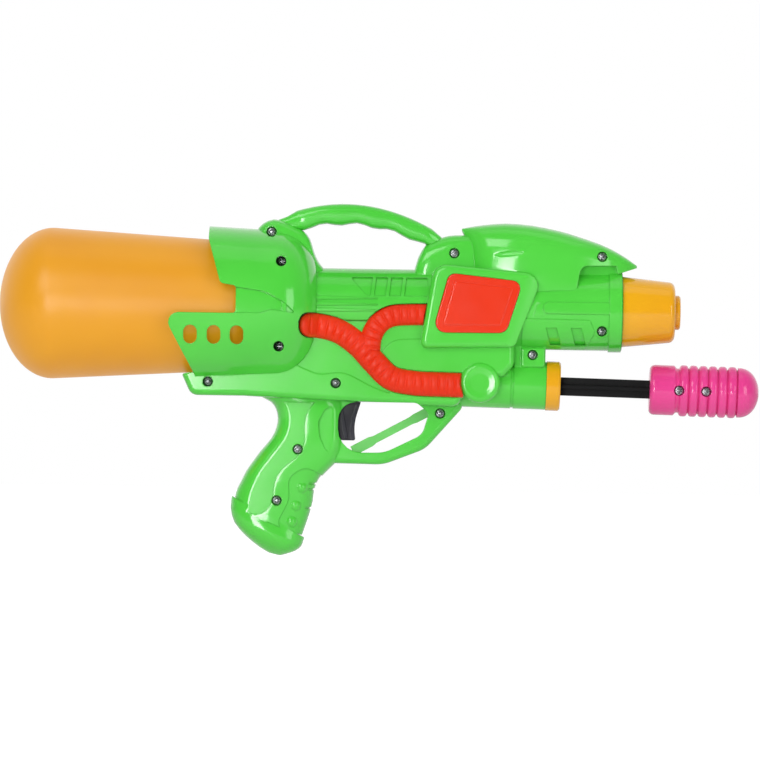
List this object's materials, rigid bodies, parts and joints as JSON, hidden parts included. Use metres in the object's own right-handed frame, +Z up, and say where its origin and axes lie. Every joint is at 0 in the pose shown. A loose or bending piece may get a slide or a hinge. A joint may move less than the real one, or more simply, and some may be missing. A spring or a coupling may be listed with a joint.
{
  "type": "water squirter",
  "caption": "Pump-action pressure water gun with a moulded split body, screw-in rear tank, sliding air pump, carry handle and a trigger that opens a spring-loaded valve.",
  "frame": {"origin": "centre of the nozzle's outlet, on the barrel's axis", "axes": "+X forward out of the nozzle, +Z up, -Y the side that the picture shows"},
  "size_m": [0.456, 0.0964, 0.2114],
  "materials": {
    "green_plastic": "gloss",
    "tank_plastic": "satin",
    "yellow_plastic": "gloss",
    "red_plastic": "gloss",
    "pink_plastic": "gloss",
    "black_plastic": "satin",
    "slate_plastic": "satin",
    "milky_plastic": "matte",
    "screw_steel": "polished",
    "seal_rubber": "matte"
  },
  "bodies": {
    "body": {"right_shell": "green_plastic", "left_shell": "green_plastic", "shell_screws": "screw_steel", "carry_handle": "green_plastic", "guard_brace": "green_plastic", "right_hose_trim": "red_plastic", "left_hose_trim": "red_plastic", "right_panel": "red_plastic", "left_panel": "red_plastic", "tank_socket": "milky_plastic", "dip_tube": "milky_plastic", "feed_tube": "milky_plastic", "outlet_tube": "milky_plastic", "air_tube": "milky_plastic", "valve_body": "milky_plastic", "valve_gland": "black_plastic", "valve_spring": "screw_steel", "trigger_pin": "screw_steel", "pump_collar": "yellow_plastic", "pump_cylinder": "milky_plastic", "pump_end_cap": "milky_plastic", "check_ball": "screw_steel", "nozzle_cone": "yellow_plastic", "nozzle_tip": "yellow_plastic"},
    "pump": {"pump_rod": "black_plastic", "pump_piston": "milky_plastic", "piston_ring": "seal_rubber", "pump_handle_right": "pink_plastic", "pump_handle_left": "pink_plastic", "pump_handle_screws": "screw_steel"},
    "trigger": {"trigger": "slate_plastic"},
    "plunger": {"valve_plunger": "milky_plastic", "plunger_ring": "seal_rubber"},
    "seal": {"tank_seal": "seal_rubber"},
    "tank": {"tank": "tank_plastic"}
  },
  "joints": [
    {"name": "pump_slide", "type": "slide", "parent": "body", "child": "pump", "axis": [0.9998, 0, -0.0209], "range_m": [-0.052, 0]},
    {"name": "trigger_pivot", "type": "hinge", "parent": "body", "child": "trigger", "pos_m": [-0.195, 0, -0.048], "axis": [0, 1, 0], "range_deg": [0, 14], "stiffness_Nm_per_rad": 0.4, "springref_deg": -8.59},
    {"name": "valve_slide", "type": "slide", "parent": "body", "child": "plunger", "axis": [1, 0, 0], "range_m": [0, 0.00345], "deforming": ["valve_spring"]},
    {"name": "tank_pull", "type": "slide", "parent": "body", "child": "seal", "axis": [-1, 0, 0], "range_m": [0, 0.13]},
    {"name": "tank_turn", "type": "hinge", "parent": "seal", "child": "tank", "pos_m": [-0.237, 0, 0], "axis": [-1, 0, 0], "range_deg": [0, 540]}
  ],
  "couplings": [
    {"joint": "valve_slide", "follows": "trigger_pivot", "m_per_rad": 0.014}
  ]
}
